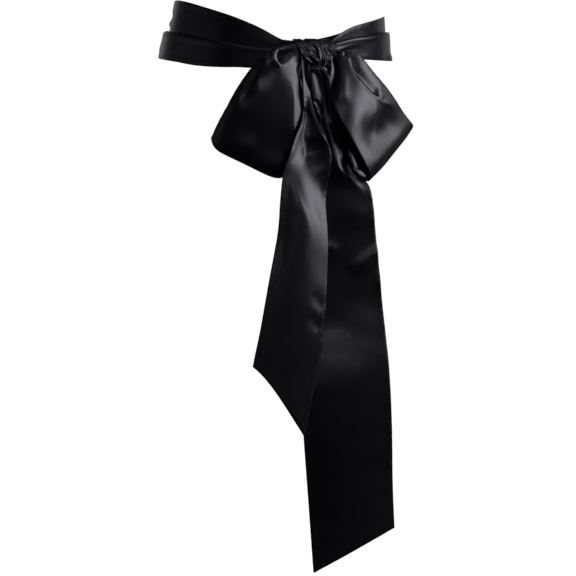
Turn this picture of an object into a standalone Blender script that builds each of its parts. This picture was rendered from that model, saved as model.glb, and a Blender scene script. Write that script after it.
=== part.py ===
"""A satin sash worn round the waist and tied at the front in a bow.

One strip of doubled satin, 100 mm wide: the band round the waist, the knot, two loops and two slant-cut
tails. Each stretch is a thin wall lofted through sections worked out from the tables below. The origin
is the middle of the waist, +Z is up and the knot is at the front, towards -Y. The tables are in
millimetres and the meshes in metres.
"""

import math
from collections import namedtuple

import bmesh
import bpy
import numpy as np

MM = 0.001
WALL = 1.2  # the doubled satin, with its soft loft

# The waist, an oval seen from above, at the height of the origin
WAIST_HALF_WIDTH = 129.5
WAIST_HALF_DEPTH = 104.0
WAIST_FLARE = 0.14  # how much wider the oval gets for each millimetre down
WAIST_FLARE_LEFT = 0.08  # what the left side has more, and the right side less
BAND_STATIONS = 62
BAND_CROWDING = 0.12  # how much closer its sections stand near the knot, where it narrows
BAND_LAYER_STEP = 2.9  # between the three layers of the lengthwise pleat
BAND_LEAST_STEP = 1.3  # where the pleat closes up near the knot
BAND_STEP_GROWTH = 0.12  # what the step gains for each millimetre of the pleat's depth

KNOT_FORWARD = -126.5
KNOT_HEIGHT = -26.0
KNOT_HALF_DEPTH = 15.5
KNOT_HALF_HEIGHT = 13.6
KNOT_SQUARENESS = 0.7  # 1 is an oval seen from the side, less is a rounded oblong
KNOT_CROWN = 1.2
KNOT_PLEATS = 4
KNOT_PLEAT_DEPTH = 1.3
KNOT_STATIONS = 24
KNOT_ACROSS = 18

LOOP_PLEATS = 4
LOOP_ACROSS = 24
SHORT_TAIL_PLEATS = 2
LONG_TAIL_PLEATS = 3
TAIL_ACROSS = 16
STRAND_ACROSS = 5
SECTIONS_PER_ROW = 2
FOLD_FADE = 0.7  # how fast a fold rises at its start and sinks at its end

# A row of the band: the angle round the waist from the knot, positive to the right, the heights of its
# top edge, of the pleat's folded edge and of its bottom edge, how deep the pleat goes, and how far the
# band stands out from the waist's oval.
Band = namedtuple("Band", "angle top pleat bottom tuck out")
BAND = (
    Band(3, -18, -21, -32, 4, 10),
    Band(8.5, -16, -19, -32, 4, 10),
    Band(14, -8, -15, -33, 6, 4),
    Band(24, 3, -9, -31, 9, 1),
    Band(38, 11, -5, -31, 14, 0),
    Band(54, 17, 0, -31, 18, 0),
    Band(72, 21, 3, -30, 18, 0),
    Band(92, 20, 1, -27, 17, 0),
    Band(110, 15, -4, -25, 14, 0),
    Band(130, 4, -11, -31, 13, 0),
    Band(150, -3, -17, -36, 12, 0),
    Band(165, 0, -15, -36, 13, 0),
    Band(180, 9, -10, -34, 16, 0),
    Band(200, 22, -4, -33, 16, 0),
    Band(230, 34, 2, -29, 16, 0),
    Band(250, 37, 3, -28, 16, 0),
    Band(268, 37, 1, -29, 16, 0),
    Band(286, 33, -3, -34, 16, 0),
    Band(304, 25, -9, -40, 15, 0),
    Band(323, 13, -17, -42, 13, 0),
    Band(336, 1, -22, -40, 9, 1),
    Band(346, -8, -22, -36, 6, 4),
    Band(351.5, -16, -22, -33, 4, 10),
    Band(357, -18, -22, -32, 4, 10),
)

# A point of the band's section, from its top edge down, back up inside the pleat and down in front: how
# many layer steps out it lies, how much of its height it takes from each edge and from the pleat's hidden
# fold, and how many steps higher it is.
Point = namedtuple("Point", "out top hidden pleat bottom higher")
BAND_SECTION = (
    Point(0.0, 1.00, 0.0, 0.00, 0.00, 0.0),
    Point(0.1, 0.66, 0.0, 0.34, 0.00, 0.0),
    Point(0.1, 0.30, 0.0, 0.70, 0.00, 0.0),
    Point(0.0, 0.00, 0.5, 0.50, 0.00, 0.0),
    Point(0.0, 0.00, 1.0, 0.00, 0.00, 0.0),
    Point(0.5, 0.00, 1.0, 0.00, 0.00, -0.5),
    Point(1.0, 0.00, 1.0, 0.00, 0.00, 0.0),
    Point(1.0, 0.00, 0.5, 0.50, 0.00, 0.0),
    Point(1.0, 0.00, 0.0, 1.00, 0.00, 0.0),
    Point(1.5, 0.00, 0.0, 1.00, 0.00, 0.5),
    Point(2.0, 0.00, 0.0, 1.00, 0.00, 0.0),
    Point(2.0, 0.00, 0.0, 0.72, 0.28, 0.0),
    Point(1.9, 0.00, 0.0, 0.40, 0.60, 0.0),
    Point(1.7, 0.00, 0.0, 0.00, 1.00, 0.0),
)

# A row of a ribbon: its two edges there, how far the middle bellies out and how deep the gathers are.
# The rows of a loop run from the knot out along the front layer, round the end fold and back, and its
# first edge is the outer one. The rows of a tail run down from the knot, and its first edge is the left.
Row = namedtuple("Row", "first second belly gather")
LOOP_LEFT = (
    Row((-2, -136.3, -16.8), (-2, -135, -35.5), 0, 2),
    Row((-21, -136.3, -17), (-15, -135, -36), 0, 2),
    Row((-35, -138.5, -19), (-23, -137, -50), 3, 3.5),
    Row((-53, -141, -23), (-21, -133.5, -66), 6, 4),
    Row((-71, -140, -35), (-16, -133, -84), 9, 4),
    Row((-88, -136, -56), (-17, -135, -103), 11, 2),
    Row((-102, -131, -80), (-21, -136, -123), 11, 1),
    Row((-112, -126, -103), (-28, -137, -142), 9, 0),
    Row((-118, -121, -119), (-35, -140, -158), 9, 0),
    Row((-120, -117, -123), (-37, -138, -164), 11, 0),
    Row((-117, -113, -119), (-36, -134, -160), 7, 0),
    Row((-108, -112, -102), (-31, -130, -142), 5, 0),
    Row((-92, -113, -75), (-25, -127, -116), 5, 1),
    Row((-70, -115, -48), (-20, -125, -87), 3, 2),
    Row((-46, -117, -28), (-20, -124, -62), 1, 3),
    Row((-29, -121, -19), (-20, -125, -47), 0, 2.5),
    Row((-19, -124, -16.5), (-14, -124, -37), 0, 2),
    Row((-2, -124, -16), (-2, -124, -36), 0, 2),
)
LOOP_RIGHT = (
    Row((2, -136.3, -16.8), (2, -135, -35.5), 0, 2),
    Row((21, -136.3, -17), (15, -135, -36), 0, 2),
    Row((31, -140, -21), (13, -146, -50), 3, 4.5),
    Row((42, -141, -25), (8, -154, -64), 6, 6),
    Row((54, -141, -35), (9, -160, -84), 8, 3),
    Row((67, -139, -49), (20, -162, -106), 10, 2),
    Row((83, -136, -64), (33, -162, -127), 10, 0),
    Row((100, -131, -83), (46, -160, -147), 7, 0),
    Row((116, -124, -99), (54, -156, -160), 4, 0),
    Row((124, -119, -106), (57, -151, -168), 2, 0),
    Row((126, -115, -109), (56, -144, -171), 4, 0),
    Row((123, -112, -105), (47, -135, -164), 3, 0),
    Row((108, -112, -89), (36, -129, -149), 4, 0),
    Row((88, -114, -69), (25, -124, -124), 4, 1),
    Row((66, -116, -47), (18, -122, -94), 3, 2),
    Row((44, -118, -29), (18, -122, -65), 1, 3),
    Row((29, -121, -19), (20, -124, -47), 0, 2.5),
    Row((19, -124, -16), (14, -124, -37), 0, 2),
    Row((2, -124, -16), (2, -124, -36), 0, 2),
)
TAIL_SHORT = (
    Row((-19, -132, -38.5), (-7, -132, -38.5), 0, 3),
    Row((-19.5, -138.5, -52), (-8, -138.5, -52), 0, 3),
    Row((-20.5, -145.5, -69), (-8, -144.5, -68), 0, 3),
    Row((-22, -152, -90), (-10, -149, -89), 0, 3.5),
    Row((-31, -158, -108), (-5, -150, -106), -5, 4),
    Row((-39, -162, -124), (2, -151, -122), -5, 3),
    Row((-44, -165, -143), (8, -150, -141), -1, 1),
    Row((-51, -167, -165), (9, -148, -162), 3, 0),
    Row((-56, -169, -194), (9, -147, -191), 7, 0),
    Row((-60, -171, -229), (10, -145, -225), 8, 0),
    Row((-71, -172, -283), (7, -144, -279), 7, 0),
    Row((-82, -173, -339), (2, -143, -335), 6, 0),
    Row((-90, -173, -375), (-3, -142, -370), 5, 0),
    Row((-106, -172, -460), (-20, -141, -456), 4, 0),
)
TAIL_LONG = (
    Row((-5, -129, -38.5), (13, -129, -38.5), 0, 2.5),
    Row((-6, -133, -60), (13, -132, -59), 0, 2.8),
    Row((-8, -134, -85), (15, -132, -84), 0, 3.5),
    Row((-13, -134, -110), (22, -132, -109), 0, 4.5),
    Row((-19, -133, -135), (29, -132, -133), 1, 4),
    Row((-26, -131, -158), (38, -138, -155), 2, 3),
    Row((-30, -129, -174), (53, -141, -170), 2, 2),
    Row((-31, -128, -191), (62, -142, -186), 3, 1),
    Row((-30, -127, -224), (66, -143, -220), 3, 0),
    Row((-25, -126, -293), (72, -144, -292), 1, 0),
    Row((-20, -126, -347), (76, -144, -346), 3, 0),
    Row((-14, -126, -445), (83, -144, -444), 4, 0),
    Row((-8, -126, -523), (87, -144, -522), 4, 0),
    Row((-1, -126, -616), (93, -144, -615), 3, 0),
)
KNOT_STRAND = (
    Row((-11, -138.5, -40), (-11, -138.5, -44), 0, 0),
    Row((-5, -140, -40), (-4, -140, -45), 1, 0),
    Row((3, -140.5, -42), (0, -140, -48), 1.5, 0),
    Row((9, -140, -48), (3, -139.5, -53), 1.5, 0),
    Row((12, -139, -58), (4, -139, -60), 1, 0),
    Row((12, -138.5, -68), (5, -138.5, -69), 0, 0),
)
SHORT_CUT = 84.0  # how much longer the right edge of the short tail is than its left edge
LONG_CUT = 48.0  # how much longer the left edge of the long tail is than its right edge
SLANT_FROM = 0.6  # how far down a tail its sections begin to turn into the slant
SLANT_EASE = 1.5

# A fold, a ridge or, with a height below 0, a trough: between which rows it runs, how far across the
# ribbon its middle lies at its start and end, from 0 to 1, its height and its half width.
Fold = namedtuple("Fold", "start end across_start across_end height width")
FOLDS_LEFT_LOOP = (
    Fold(1.5, 5.0, 0.20, 0.17, -6, 0.07),
    Fold(1.5, 5.5, 0.06, 0.05, 3, 0.05),
    Fold(2.0, 8.0, 0.80, 0.86, 9, 0.07),
    Fold(4.5, 9.0, 0.22, 0.32, 4, 0.12),
)
FOLDS_RIGHT_LOOP = (
    Fold(1.8, 5.6, 0.16, 0.36, -7, 0.07),
    Fold(5.0, 8.2, 0.45, 0.46, -6, 0.12),
    Fold(2.5, 7.5, 0.74, 0.72, 4, 0.14),
)
FOLDS_SHORT_TAIL = (
    Fold(2.5, 7.5, 0.62, 0.72, -6, 0.20),
    Fold(3.5, 12.0, 0.20, 0.40, 4, 0.16),
)
FOLDS_LONG_TAIL = (
    Fold(4.5, 8.5, 0.55, 0.75, -4, 0.16),
    Fold(6.0, 9.5, 0.30, 0.36, 5, 0.15),
)

# A row of the knot's wrap: the angle from straight ahead, positive upwards, and its left and right edges.
Wrap = namedtuple("Wrap", "angle left right")
WRAP = (
    Wrap(-52, -15.5, 12),
    Wrap(-30, -19.5, 15.2),
    Wrap(0, -21.6, 17.2),
    Wrap(35, -26, 17),
    Wrap(70, -29, 15),
    Wrap(100, -24, 15),
    Wrap(130, -17.5, 15),
    Wrap(170, -16, 15),
    Wrap(228, -15, 13),
)

BLACK_SATIN = (0.0065, 0.0062, 0.0085, 1.0)


def smooth(knots, values, at):
    """A smooth curve through the rows, read at any places, with the slopes taken from the neighbours."""
    knots = np.asarray(knots, float)
    values = np.asarray(values, float)
    slopes = np.gradient(values, knots, axis=0)
    first = np.clip(np.searchsorted(knots, at, side="right") - 1, 0, len(knots) - 2)
    span = knots[first + 1] - knots[first]
    part = (at - knots[first]) / span
    if values.ndim > 1:
        part = part[..., None]
        span = span[..., None]
    return (
        (2 * part**3 - 3 * part**2 + 1) * values[first]
        + (part**3 - 2 * part**2 + part) * span * slopes[first]
        + (3 * part**2 - 2 * part**3) * values[first + 1]
        + (part**3 - part**2) * span * slopes[first + 1]
    )


def unit(vectors):
    return vectors / np.maximum(np.linalg.norm(vectors, axis=-1, keepdims=True), 1e-9)


def normals_of(grid, side):
    """The outward normals of a grid of points, sections first: side is 1 or -1."""
    along = np.gradient(grid, axis=0)
    across = np.gradient(grid, axis=1)
    return side * unit(np.cross(along, across))


def ribbon(rows, folds, place, across, pleats, side):
    """The middle surface of a ribbon through its rows: place says where along the rows each point lies."""
    knots = np.arange(len(rows))
    first = smooth(knots, [row.first for row in rows], place)
    second = smooth(knots, [row.second for row in rows], place)
    belly = smooth(knots, [row.belly for row in rows], place)
    gather = smooth(knots, [row.gather for row in rows], place)
    edge_fade = np.sqrt(np.sin(math.pi * across).clip(0))
    lift = belly * np.sin(math.pi * across)
    lift = lift + gather / 2 * np.sin(2 * math.pi * pleats * across) * edge_fade
    for fold in folds:
        run = np.clip((place - fold.start) / (fold.end - fold.start), 0, 1)
        middle = fold.across_start + (fold.across_end - fold.across_start) * run
        fade = np.sin(math.pi * run).clip(0) ** FOLD_FADE
        lift = lift + fold.height * fade * np.exp(-(((across - middle) / fold.width) ** 2))
    grid = first + (second - first) * across[..., None]
    return grid + normals_of(grid, side) * lift[..., None]


def wall_mesh(name, grid):
    """A wall of even thickness on a grid of middle points, sections first."""
    normals = normals_of(grid, 1)
    sides = [grid + normals * WALL / 2, grid - normals * WALL / 2]
    mesh = bpy.data.meshes.new(name)
    form = bmesh.new()
    outer, inner = ([[form.verts.new(point * MM) for point in row] for row in side] for side in sides)
    count, width = grid.shape[:2]
    for i in range(count - 1):
        j = i + 1
        for k in range(width - 1):
            form.faces.new((outer[i][k], outer[j][k], outer[j][k + 1], outer[i][k + 1]))
            form.faces.new((inner[i][k], inner[i][k + 1], inner[j][k + 1], inner[j][k]))
        form.faces.new((outer[i][0], inner[i][0], inner[j][0], outer[j][0]))
        form.faces.new((outer[i][-1], outer[j][-1], inner[j][-1], inner[i][-1]))
    for k in range(width - 1):
        form.faces.new((outer[0][k], outer[0][k + 1], inner[0][k + 1], inner[0][k]))
        form.faces.new((outer[-1][k], inner[-1][k], inner[-1][k + 1], outer[-1][k + 1]))
    bmesh.ops.triangulate(form, faces=form.faces[:])
    bmesh.ops.recalc_face_normals(form, faces=form.faces[:])
    form.to_mesh(mesh)
    form.free()
    return mesh


def satin(name):
    material = bpy.data.materials.new(name)
    material.use_nodes = True
    shader = material.node_tree.nodes["Principled BSDF"]
    shader.inputs["Base Color"].default_value = BLACK_SATIN
    shader.inputs["Roughness"].default_value = 0.38
    shader.inputs["Metallic"].default_value = 0.0
    return material


def add_piece(name, grid):
    mesh = wall_mesh(name, grid)
    mesh.materials.append(satin(name + "_satin"))
    mesh.shade_smooth()
    piece = bpy.data.objects.new(name, mesh)
    bpy.context.scene.collection.objects.link(piece)
    return piece


def band_section(angle, top, pleat, bottom, tuck, out):
    """One section of the band: its row says where its edges lie and how deep its pleat goes."""
    step = min(BAND_LAYER_STEP, BAND_LEAST_STEP + BAND_STEP_GROWTH * tuck)
    hidden = pleat - tuck
    turn = math.radians(angle)
    flare = WAIST_FLARE - WAIST_FLARE_LEFT * math.sin(turn)
    points = []
    for point in BAND_SECTION:
        height = point.top * top + point.hidden * hidden + point.pleat * pleat
        height += point.bottom * bottom + point.higher * step
        grow = out + point.out * step - flare * height
        x = (WAIST_HALF_WIDTH + grow) * math.sin(turn)
        y = -(WAIST_HALF_DEPTH + grow) * math.cos(turn)
        points.append((x, y, height))
    return points


def band_grid():
    """Sections round the waist from the right of the knot, past the back, to its left."""
    part = np.linspace(-1, 1, BAND_STATIONS)
    spread = part + BAND_CROWDING * np.sin(math.pi * part)
    angles = 180 + spread * (180 - BAND[0].angle)
    table = smooth([row.angle for row in BAND], BAND, angles)
    return np.array([band_section(*row) for row in table])


def loop_grid(rows, folds, side):
    place = np.linspace(0, len(rows) - 1, (len(rows) - 1) * SECTIONS_PER_ROW + 1)
    place, across = np.meshgrid(place, np.linspace(0, 1, LOOP_ACROSS), indexing="ij")
    return ribbon(rows, folds, place, across, LOOP_PLEATS, side)


def tail_grid(rows, folds, pleats, cut, longer_left):
    """A tail whose end is cut on a slant: cut is how much sooner its shorter edge ends."""
    last = len(rows) - 1
    run = np.linalg.norm(np.subtract(rows[-1].first, rows[-2].first))
    part = np.linspace(0, 1, last * SECTIONS_PER_ROW + 1)
    part, across = np.meshgrid(part, np.linspace(0, 1, TAIL_ACROSS), indexing="ij")
    short_of_end = (across if longer_left else 1 - across) * cut / run
    # The slant comes in over the last stretch of the tail, so that the sections above stay level.
    blend = np.clip((part - SLANT_FROM) / (1 - SLANT_FROM), 0, 1) ** SLANT_EASE
    return ribbon(rows, folds, part * last - short_of_end * blend, across, pleats, 1)


def strand_grid(rows):
    place = np.linspace(0, len(rows) - 1, (len(rows) - 1) * SECTIONS_PER_ROW + 1)
    place, across = np.meshgrid(place, np.linspace(0, 1, STRAND_ACROSS), indexing="ij")
    return ribbon(rows, (), place, across, 1, -1)


def rounded(value):
    return math.copysign(abs(value) ** KNOT_SQUARENESS, value)


def knot_grid():
    """The wrap over the necks: open below, where the tails come out."""
    angles = np.linspace(WRAP[0].angle, WRAP[-1].angle, KNOT_STATIONS)
    edges = smooth([row.angle for row in WRAP], [(row.left, row.right) for row in WRAP], angles)
    across = np.linspace(0, 1, KNOT_ACROSS)
    crown = KNOT_CROWN * np.sin(math.pi * across)
    grow = crown - KNOT_PLEAT_DEPTH / 2 * np.cos(2 * math.pi * KNOT_PLEATS * across)
    grid = []
    for angle, (left, right) in zip(np.radians(angles), edges):
        x = left + (right - left) * across
        y = KNOT_FORWARD - (KNOT_HALF_DEPTH + grow) * rounded(math.cos(angle))
        z = KNOT_HEIGHT + (KNOT_HALF_HEIGHT + grow) * rounded(math.sin(angle))
        grid.append(np.stack([x, y, z], axis=-1))
    return np.array(grid)


def clear_scene():
    for old in list(bpy.data.objects):
        bpy.data.objects.remove(old, do_unlink=True)


def build_sash():
    clear_scene()
    add_piece("waist_band", band_grid())
    add_piece("knot_wrap", knot_grid())
    add_piece("knot_strand", strand_grid(KNOT_STRAND))
    add_piece("bow_loop_left", loop_grid(LOOP_LEFT, FOLDS_LEFT_LOOP, 1))
    add_piece("bow_loop_right", loop_grid(LOOP_RIGHT, FOLDS_RIGHT_LOOP, -1))
    short = tail_grid(TAIL_SHORT, FOLDS_SHORT_TAIL, SHORT_TAIL_PLEATS, SHORT_CUT, longer_left=False)
    add_piece("tail_short", short)
    long = tail_grid(TAIL_LONG, FOLDS_LONG_TAIL, LONG_TAIL_PLEATS, LONG_CUT, longer_left=True)
    add_piece("tail_long", long)


build_sash()
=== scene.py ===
import math
import random
from collections import namedtuple

import bpy
import numpy as np
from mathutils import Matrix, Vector


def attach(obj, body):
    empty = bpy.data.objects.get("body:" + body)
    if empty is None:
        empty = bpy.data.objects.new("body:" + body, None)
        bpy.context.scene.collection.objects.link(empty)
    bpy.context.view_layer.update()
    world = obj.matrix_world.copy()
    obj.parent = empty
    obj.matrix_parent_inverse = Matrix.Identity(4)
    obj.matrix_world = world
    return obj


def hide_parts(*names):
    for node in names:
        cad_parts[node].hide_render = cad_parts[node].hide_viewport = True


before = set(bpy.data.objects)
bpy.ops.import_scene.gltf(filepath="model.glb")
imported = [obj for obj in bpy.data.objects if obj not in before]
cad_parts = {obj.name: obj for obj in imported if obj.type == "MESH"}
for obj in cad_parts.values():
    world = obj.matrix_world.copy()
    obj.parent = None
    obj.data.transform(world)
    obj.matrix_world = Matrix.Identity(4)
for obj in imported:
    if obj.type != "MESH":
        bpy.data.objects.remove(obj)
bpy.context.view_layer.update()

mm = 0.001

# studio, in metres: what a user would change for another room or another view
studio = {
    "floorHeight": -1.05,  # a standing wearer's waist is about this far up
    "floorRadius": 14.0,
    "floorColor": (0.97, 0.97, 0.97, 1.0),
    "floorGlow": 1.05,
    "backdropRadius": 20.0,
    "backdropColor": (1.0, 1.0, 1.0, 1.0),
    "backdropGlow": 1.0,
    "wallRoughness": 0.9,
    "wallSpecular": 0.1,
    "worldColor": (0.02, 0.02, 0.025, 1.0),
    "lightAim": (0, -0.1, -0.15),  # all lights face this point
    "eye": (-1.14355761, -3.17953255, -0.16704465),  # where the camera stands
    "aim": (0.0082007, -0.01510259, -0.29641157),  # and what it looks at
    "lens": 180.0,
    "sensor": 36.0,
    "farthest": 100.0,  # the camera sees no further
}

# a soft light: degrees round from straight ahead, positive to the right, then its height, distance, width
# and tallness in metres, then how bright it looks and its colour
lightRow = namedtuple("lightRow", "name azimuth height distance width tall glow tint")
lights = (
    lightRow("rightSoftbox", 58, 0.50, 2.2, 1.3, 1.3, 6.0, (0.93, 0.91, 1.0)),
    lightRow("topSoftbox", 5, 2.1, 1.0, 1.6, 1.0, 0.8, (0.96, 0.95, 1.0)),
    lightRow("frontTopSoftbox", 0, 1.3, 3.2, 1.4, 1.0, 1.5, (0.93, 0.91, 1.0)),
    lightRow("frontFill", -20, 0.5, 3.8, 3.0, 1.6, 0.07, (0.90, 0.88, 1.0)),
    lightRow("leftFill", -92, 0.1, 2.8, 3.0, 1.8, 0.20, (0.90, 0.88, 1.0)),
    lightRow("farLeftFill", -150, 0.1, 2.8, 2.4, 1.8, 0.10, (0.90, 0.88, 1.0)),
    lightRow("rightFill", 128, 0.3, 2.6, 2.0, 1.8, 0.35, (0.95, 0.93, 1.0)),
    lightRow("backSoftbox", 180, 0.2, 3.0, 2.4, 2.2, 0.35, (1.0, 1.0, 1.0)),
)


def plainMaterial(name, color, glow):
    material = bpy.data.materials.new(name)
    material.use_nodes = True
    shader = material.node_tree.nodes["Principled BSDF"]
    shader.inputs["Base Color"].default_value = color
    shader.inputs["Roughness"].default_value = studio["wallRoughness"]
    shader.inputs["Specular IOR Level"].default_value = studio["wallSpecular"]
    shader.inputs["Emission Color"].default_value = color
    shader.inputs["Emission Strength"].default_value = glow
    return material


def buildStage():
    bpy.ops.object.select_all(action="DESELECT")
    height = studio["floorHeight"]
    bpy.ops.mesh.primitive_circle_add(
        vertices=96, radius=studio["floorRadius"], fill_type="NGON", location=(0, 0, height)
    )
    floor = bpy.context.active_object
    floor.name = "studioFloor"
    paleFloor = plainMaterial("paleFloor", studio["floorColor"], studio["floorGlow"])
    floor.data.materials.append(paleFloor)
    bpy.ops.mesh.primitive_uv_sphere_add(segments=64, ring_count=32, radius=studio["backdropRadius"])
    backdrop = bpy.context.active_object
    backdrop.name = "studioBackdrop"
    whiteBackdrop = plainMaterial("whiteBackdrop", studio["backdropColor"], studio["backdropGlow"])
    backdrop.data.materials.append(whiteBackdrop)
    for item in (floor, backdrop):
        item.visible_glossy = False  # satin would mirror a white room, so it sees the softboxes alone
        item.visible_diffuse = False
        item.visible_shadow = False
    world = bpy.data.worlds.new("studioWorld")
    world.use_nodes = True
    world.node_tree.nodes["Background"].inputs["Color"].default_value = studio["worldColor"]
    bpy.context.scene.world = world


def addLights():
    target = Vector(studio["lightAim"])
    for item in lights:
        turn = math.radians(item.azimuth)
        place = Vector((item.distance * math.sin(turn), -item.distance * math.cos(turn), item.height))
        facing = (target - place).to_track_quat("-Z", "Y").to_euler()
        bpy.ops.object.light_add(type="AREA", location=place, rotation=facing)
        lamp = bpy.context.active_object
        lamp.name = item.name
        lamp.data.shape = "RECTANGLE"
        lamp.data.size = item.width
        lamp.data.size_y = item.tall
        lamp.data.energy = item.glow * math.pi * item.width * item.tall
        lamp.data.color = item.tint
        lamp.visible_camera = False


def addCamera():
    eye = Vector(studio["eye"])
    facing = (Vector(studio["aim"]) - eye).to_track_quat("-Z", "Y").to_euler()
    bpy.ops.object.camera_add(location=eye, rotation=facing)
    camera = bpy.context.active_object
    camera.data.lens = studio["lens"]
    camera.data.sensor_width = studio["sensor"]
    camera.data.clip_end = studio["farthest"]
    bpy.context.scene.camera = camera


buildStage()
addLights()
addCamera()
bpy.context.scene.view_settings.view_transform = "Standard"
print("studio ready")

satin = {
    "color": (0.0048, 0.0044, 0.0068),
    "colorSwing": 0.2,  # how much lighter and darker the slubs are
    "roughness": 0.33,
    "roughnessSwing": 0.03,
    "anisotropy": 0.35,
    "specular": 0.5,
    "sheen": 0.04,
    "sheenRoughness": 0.35,
    "sheenTint": (0.85, 0.85, 1.0, 1.0),
    "threadPitch": 0.00022,  # between two threads of the weave, in metres
    "threadGap": 0.12,  # of the pitch
    "floatThreads": 5.0,  # a satin float passes over this many threads
    "floatShift": 0.4,  # and starts this share of its length after its neighbour
    "lowFloat": (0.75, 0.75, 0.75, 1),  # how high the lower floats lie, beside 1
    "slubScale": (900.0, 60.0, 1.0),  # in a metre, across and along the ribbon
    "slubDetail": 3.0,
    "slubRange": (0.3, 0.75),
    "crumpleScale": 38.0,  # in a metre
    "crumpleDetail": 2.0,
    "crumpleRoughness": 0.45,
    "weaveDepth": 0.00002,  # depths in metres
    "slubDepth": 0.00005,
    "crumpleDepth": 0.0004,
    "reliefStrength": 0.6,
}


def makeSatin(name):
    # long floats side by side, on the ribbon's own flat map, with faint slubs and crumples
    material = bpy.data.materials.new(name)
    material.use_nodes = True
    nodes = material.node_tree.nodes
    link = material.node_tree.links.new
    shader = nodes["Principled BSDF"]
    shader.inputs["Anisotropic"].default_value = satin["anisotropy"]
    shader.inputs["Specular IOR Level"].default_value = satin["specular"]
    shader.inputs["Sheen Weight"].default_value = satin["sheen"]
    shader.inputs["Sheen Roughness"].default_value = satin["sheenRoughness"]
    shader.inputs["Sheen Tint"].default_value = satin["sheenTint"]

    flat = nodes.new("ShaderNodeUVMap")
    flat.uv_map = "cloth"
    tangent = nodes.new("ShaderNodeTangent")
    tangent.direction_type = "UV_MAP"
    tangent.uv_map = "cloth"
    link(tangent.outputs["Tangent"], shader.inputs["Tangent"])

    turned = nodes.new("ShaderNodeMapping")
    turned.inputs["Rotation"].default_value = (0, 0, math.pi / 2)  # the floats run along the ribbon
    link(flat.outputs["UV"], turned.inputs["Vector"])
    weave = nodes.new("ShaderNodeTexBrick")
    weave.offset = satin["floatShift"]
    weave.offset_frequency = 1
    weave.inputs["Color1"].default_value = (1, 1, 1, 1)
    weave.inputs["Color2"].default_value = satin["lowFloat"]
    weave.inputs["Mortar"].default_value = (0, 0, 0, 1)
    weave.inputs["Scale"].default_value = 1.0 / satin["threadPitch"]
    weave.inputs["Mortar Size"].default_value = satin["threadGap"]
    weave.inputs["Mortar Smooth"].default_value = 1.0
    weave.inputs["Brick Width"].default_value = satin["floatThreads"]
    weave.inputs["Row Height"].default_value = 1.0
    link(turned.outputs["Vector"], weave.inputs["Vector"])

    stretched = nodes.new("ShaderNodeMapping")
    stretched.inputs["Scale"].default_value = satin["slubScale"]
    link(flat.outputs["UV"], stretched.inputs["Vector"])
    slub = nodes.new("ShaderNodeTexNoise")
    slub.inputs["Scale"].default_value = 1.0
    slub.inputs["Detail"].default_value = satin["slubDetail"]
    link(stretched.outputs["Vector"], slub.inputs["Vector"])

    crumple = nodes.new("ShaderNodeTexNoise")
    crumple.inputs["Scale"].default_value = satin["crumpleScale"]
    crumple.inputs["Detail"].default_value = satin["crumpleDetail"]
    crumple.inputs["Roughness"].default_value = satin["crumpleRoughness"]
    link(flat.outputs["UV"], crumple.inputs["Vector"])

    tone = nodes.new("ShaderNodeValToRGB")
    low, high = tone.color_ramp.elements
    low.position, high.position = satin["slubRange"]
    low.color = tuple(value * (1 - satin["colorSwing"]) for value in satin["color"]) + (1.0,)
    high.color = tuple(value * (1 + satin["colorSwing"]) for value in satin["color"]) + (1.0,)
    link(slub.outputs["Fac"], tone.inputs["Fac"])
    link(tone.outputs["Color"], shader.inputs["Base Color"])

    gloss = nodes.new("ShaderNodeMapRange")
    gloss.inputs["To Min"].default_value = satin["roughness"] - satin["roughnessSwing"]
    gloss.inputs["To Max"].default_value = satin["roughness"] + satin["roughnessSwing"]
    link(crumple.outputs["Fac"], gloss.inputs["Value"])
    link(gloss.outputs["Result"], shader.inputs["Roughness"])

    normal = None
    for height, depth in (
        (crumple.outputs["Fac"], satin["crumpleDepth"]),
        (slub.outputs["Fac"], satin["slubDepth"]),
        (weave.outputs["Color"], satin["weaveDepth"]),
    ):
        bump = nodes.new("ShaderNodeBump")
        bump.inputs["Strength"].default_value = satin["reliefStrength"]
        bump.inputs["Distance"].default_value = depth
        link(height, bump.inputs["Height"])
        if normal is not None:
            link(normal, bump.inputs["Normal"])
        normal = bump.outputs["Normal"]
    link(normal, shader.inputs["Normal"])
    return material


blackSatin = makeSatin("blackSatin")
print("satin ready")

# the doubled cloth, in mm
cloth = {
    "ribbonWidth": 100.0,
    "thickness": 0.8,
    "seamThickness": 1.25,  # where the seam allowance lies between the two layers
    "seamWidth": 8.0,
    "seamFall": 1.5,  # how steeply it thins at the inner end of the allowance
    "step": 1.5,  # between the points of a piece's mesh
    "easing": 0.22,  # of the way between two rows, over which kinks are taken out
    "slantCurve": 1.5,  # how slowly the slant of a cut end sets in
    "linePoints": 12,  # between two named points of a fold's line
    "foldShare": (0.1, 1.1),  # the least and the most by which folds follow the ribbon's width
    "pleatRoom": 1.6,  # a pleat is at most its own width high, divided by this
    "puckerHeight": 0.13,
    "puckerPitch": 1.7,
    "puckerDrift": (1.3, 7.3),  # how unevenly the puckers follow each other, and over which distance
    "puckerSwell": (0.6, 0.4, 23),  # their mean height, how much it changes, and over which distance
    "puckerReach": 3.2,  # from the edge
    # waves of some length, direction and height
    "waves": ((61, 0.3, 0.10), (37, 1.1, 0.08), (83, 2.2, 0.12), (29, 2.7, 0.05), (47, 0.8, 0.06)),
    "waveDrift": (0.6, 31),
}

# how much one gathered pleat differs from the next
pleatSwing = {
    "place": 0.25,
    "width": (0.26, 0.4),
    "reach": (0.5, 1.3),
    "height": (0.6, 1.2),
    "drift": 0.02,
}

# row: a cross section's two edges, and how far its middle stands out, in mm
row = namedtuple("row", "first second belly")
# fold: a soft line through (row, across) points, across being 0 at the first edge and 1 at the second
# height is in mm and sinks below 0; left and right are the half widths on the two sides of the line as it
# runs, in mm of the flat ribbon; rise and sink are the shares of the line over which it grows and fades
fold = namedtuple("fold", "path height left right rise sink")
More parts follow.
